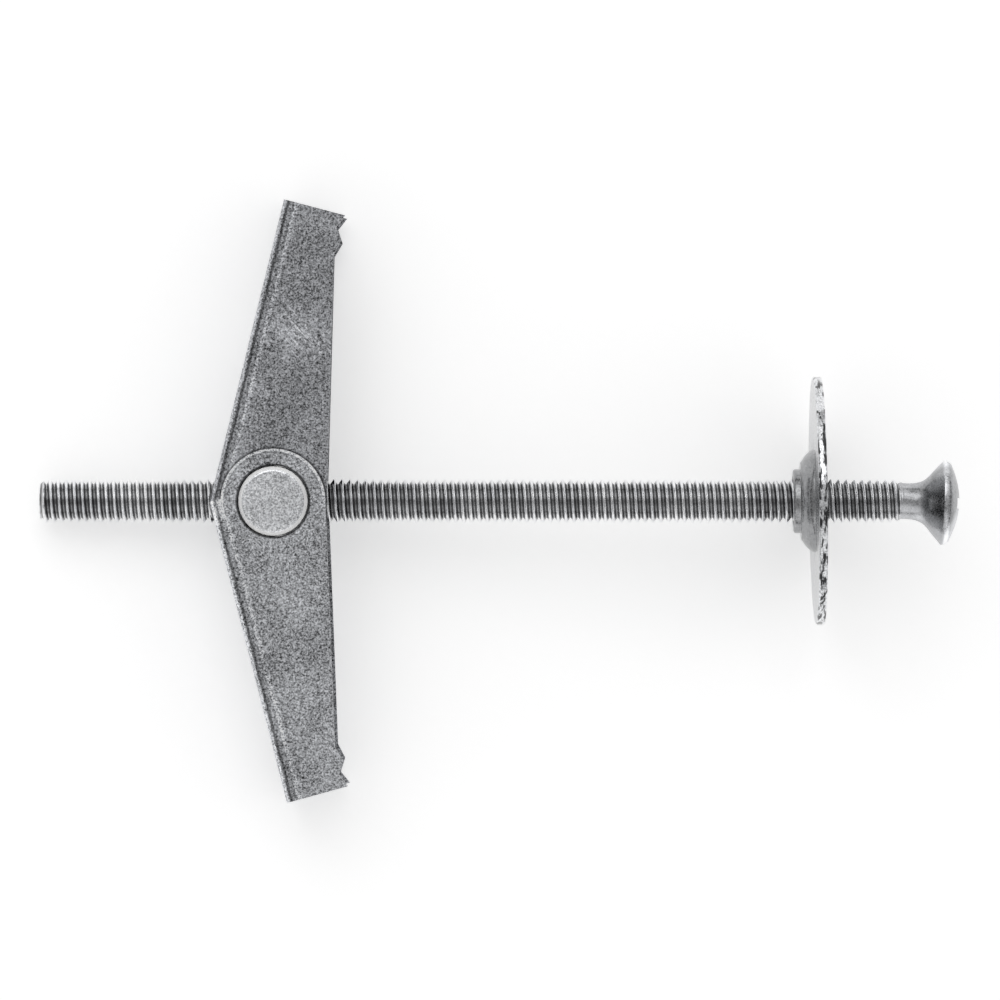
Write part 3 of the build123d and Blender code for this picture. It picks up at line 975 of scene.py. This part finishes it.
class MESH_OT_toggle_bolt_spring(bpy.types.Operator):
    """Make the double torsion spring: two coils, a free leg from each, and the bridge"""

    bl_idname = "mesh.toggle_bolt_spring"
    bl_label = "Torsion spring"

    def execute(self, context):
        size = sizes()
        radius = size.coil_radius
        leg_end, leg_turn = leg_on_web(size, size.leg_reach)
        bridge_end, bridge_turn = leg_on_web(size, size.bridge_reach)
        wrap = 4 * math.pi - bridge_turn - leg_turn
        rise = size.coil_pitch / (2 * math.pi)
        inner, outer = size.coil_start, size.coil_start + rise * wrap
        # each leg carries a stretch of coil that a folding wing draws out of the coil
        drawn = math.radians(OPEN_ANGLE + 4)
        coils, legs, ends = [], [], {}
        for side in (1, -1):
            coils.append(turn_points(size, leg_turn, leg_turn + wrap, outer, inner, side, 1.0))
            hidden = turn_points(
                size, leg_turn, leg_turn + drawn, outer, outer - rise * drawn, side, 0.96
            )
            legs.append([((*leg_end, side * outer), 1.0)] + hidden)
            ends[side] = turn_points(
                size, -bridge_turn - drawn, -bridge_turn, inner + rise * drawn, inner, side, 0.96
            )
        corner = Vector((bridge_end[0], -bridge_end[1], 0))
        off = Vector((radius * math.cos(bridge_turn), -radius * math.sin(bridge_turn), 0))
        back = (off - corner).normalized() * size.bridge_bend
        across = Vector((0, 0, size.bridge_bend))
        run = list(ends[1])
        for side in (1, -1):
            middle = corner + Vector((0, 0, side * inner)) + back - side * across
            bend = []
            for i in range(7):
                t = math.radians(15 * i)
                bend.append((middle - back * math.sin(t) + side * across * math.cos(t), 1.0))
            run += bend if side == 1 else bend[::-1]
        run += ends[-1][::-1]
        plate = metal(
            "drawn_spring_wire", finish().wire, rough=0.3, grain=0.12, patches=0.12, scuffs=0.3
        )
        for name, runs, body in (
            ("torsion_spring_coils", coils, "toggle"),
            ("torsion_spring_legs", legs, "wing_upper"),
            ("torsion_spring_bridge", [run], "wing_lower"),
        ):
            dress(wire(name, runs, size.wire_radius), plate, body, "torsion_spring")
        return {"FINISHED"}


# --- stage ----------------------------------------------------------------------------------
FLOOR_LIFT = 0.33         # how much brighter the floor shows than it is lit
DULL_LIGHT = 0.62         # the world's strength on dull surfaces, where 1 is white


def floor_material():
    """A pale floor that shows white around the bolt and keeps its soft shadow."""
    material = bpy.data.materials.new("pale_floor")
    material.use_nodes = True
    tree = material.node_tree
    shader = tree.nodes["Principled BSDF"]
    shader.inputs["Base Color"].default_value = (*finish().floor, 1)
    shader.inputs["Roughness"].default_value = 0.9
    shader.inputs["Specular IOR Level"].default_value = 0.0
    shader.inputs["Emission Color"].default_value = (1, 1, 1, 1)
    path = tree.nodes.new("ShaderNodeLightPath")
    seen = add_math(tree, "MAXIMUM", path.outputs["Is Camera Ray"], path.outputs["Is Glossy Ray"])
    seen = add_math(tree, "MAXIMUM", seen, path.outputs["Is Transmission Ray"])
    lift = add_math(tree, "MULTIPLY", seen, FLOOR_LIFT)
    tree.links.new(lift, shader.inputs["Emission Strength"])
    return material


def add_world():
    """White to the camera, even light on dull surfaces, and a studio for metal to show: a grey
    ceiling, bright walls along both sides of the screw and a dark skirting at the horizon."""
    world = bpy.data.worlds.new("studio")
    bpy.context.scene.world = world
    world.use_nodes = True
    tree = world.node_tree
    back = tree.nodes["Background"]
    back.inputs["Color"].default_value = (1, 1, 1, 1)
    way = tree.nodes.new("ShaderNodeSeparateXYZ")
    tree.links.new(tree.nodes.new("ShaderNodeTexCoord").outputs["Generated"], way.inputs[0])
    side = add_math(tree, "ABSOLUTE", way.outputs["Y"])
    wall = add_range(tree, side, 0.30, 0.60, 0.0, 0.5)
    studio = add_math(tree, "ADD", wall, 0.5)
    skirting = add_range(tree, way.outputs["Z"], 0.05, 0.22, 0.04, 1.0)
    studio = add_math(tree, "MULTIPLY", studio, skirting)
    path = tree.nodes.new("ShaderNodeLightPath")
    shiny = add_math(
        tree, "MAXIMUM", path.outputs["Is Glossy Ray"], path.outputs["Is Transmission Ray"]
    )
    dull = add_math(tree, "MULTIPLY_ADD", path.outputs["Is Camera Ray"], 1 - DULL_LIGHT, DULL_LIGHT)
    dull = add_math(tree, "MULTIPLY", dull, add_math(tree, "SUBTRACT", 1.0, shiny))
    strength = add_math(tree, "MULTIPLY_ADD", shiny, studio, dull)
    tree.links.new(strength, back.inputs["Strength"])


def add_lamp(name, place, size_m, power, aim):
    lamp = bpy.data.lights.new(name, "AREA")
    lamp.shape = "RECTANGLE"
    lamp.size, lamp.size_y = size_m
    lamp.energy = power
    holder = bpy.data.objects.new(name, lamp)
    bpy.context.scene.collection.objects.link(holder)
    holder.location = place
    holder.rotation_euler = (aim - Vector(place)).to_track_quat("-Z", "Y").to_euler()


def add_camera():
    """Square on to the screw and along the trunnion, far enough back to flatten perspective."""
    distance, seen_width, above_screw = 0.648, 88.81 * MM, 0.09 * MM
    data = bpy.data.cameras.new("camera")
    data.sensor_width = 36
    data.lens = data.sensor_width * distance / seen_width
    data.clip_start, data.clip_end = 0.01, 10
    camera = bpy.data.objects.new("camera", data)
    bpy.context.scene.collection.objects.link(camera)
    middle = (SCREW_LOW.x + SCREW_HIGH.x) / 2
    camera.matrix_world = BOLT @ Matrix.Translation((middle, above_screw, distance))
    bpy.context.scene.camera = camera


class OBJECT_OT_toggle_bolt_stage(bpy.types.Operator):
    """Lay the floor, set the lamps and the camera"""

    bl_idname = "object.toggle_bolt_stage"
    bl_label = "Stage"

    def execute(self, context):
        deselect_all()
        bpy.ops.mesh.primitive_plane_add(size=6, location=(0, 0, CAD_BOX[0][2]))
        floor = bpy.context.active_object
        floor.name = "floor"
        floor.data.materials.append(floor_material())
        aim = BOLT @ Vector((20 * MM, 0, 0))
        add_world()
        add_lamp("softbox_high", place=(-0.35, 0.9, 1.3), size_m=(1.2, 1.2), power=4.4, aim=aim)
        add_camera()
        context.scene.view_settings.view_transform = "Standard"
        return {"FINISHED"}


class VIEW3D_PT_toggle_bolt(bpy.types.Panel):
    """Sizes, finishes and pieces of the toggle bolt"""

    bl_idname = "VIEW3D_PT_toggle_bolt"
    bl_label = "Toggle bolt"
    bl_space_type = "VIEW_3D"
    bl_region_type = "UI"
    bl_category = "Toggle bolt"

    def draw(self, context):
        for group in (context.scene.toggle_bolt_sizes, context.scene.toggle_bolt_finish):
            box = self.layout.box()
            for name in group.__annotations__:
                box.prop(group, name)
        for operator in OPERATORS:
            self.layout.operator(operator.bl_idname)


OPERATORS = (
    MESH_OT_toggle_bolt_screw,
    MESH_OT_toggle_bolt_washer,
    MESH_OT_toggle_bolt_wings,
    MESH_OT_toggle_bolt_trunnion,
    MESH_OT_toggle_bolt_spring,
    OBJECT_OT_toggle_bolt_stage,
)
CLASSES = (ToggleBoltSizes, ToggleBoltFinish, *OPERATORS, VIEW3D_PT_toggle_bolt)


def register():
    for each in CLASSES:
        bpy.utils.register_class(each)
    bpy.types.Scene.toggle_bolt_sizes = PointerProperty(type=ToggleBoltSizes)
    bpy.types.Scene.toggle_bolt_finish = PointerProperty(type=ToggleBoltFinish)


def unregister():
    del bpy.types.Scene.toggle_bolt_finish
    del bpy.types.Scene.toggle_bolt_sizes
    for each in reversed(CLASSES):
        bpy.utils.unregister_class(each)


def main():
    register()
    bpy.ops.mesh.toggle_bolt_screw()
    bpy.ops.mesh.toggle_bolt_washer()
    bpy.ops.mesh.toggle_bolt_wings()
    bpy.ops.mesh.toggle_bolt_trunnion()
    bpy.ops.mesh.toggle_bolt_spring()
    bpy.ops.object.toggle_bolt_stage()


if __name__ == "__main__":
    main()
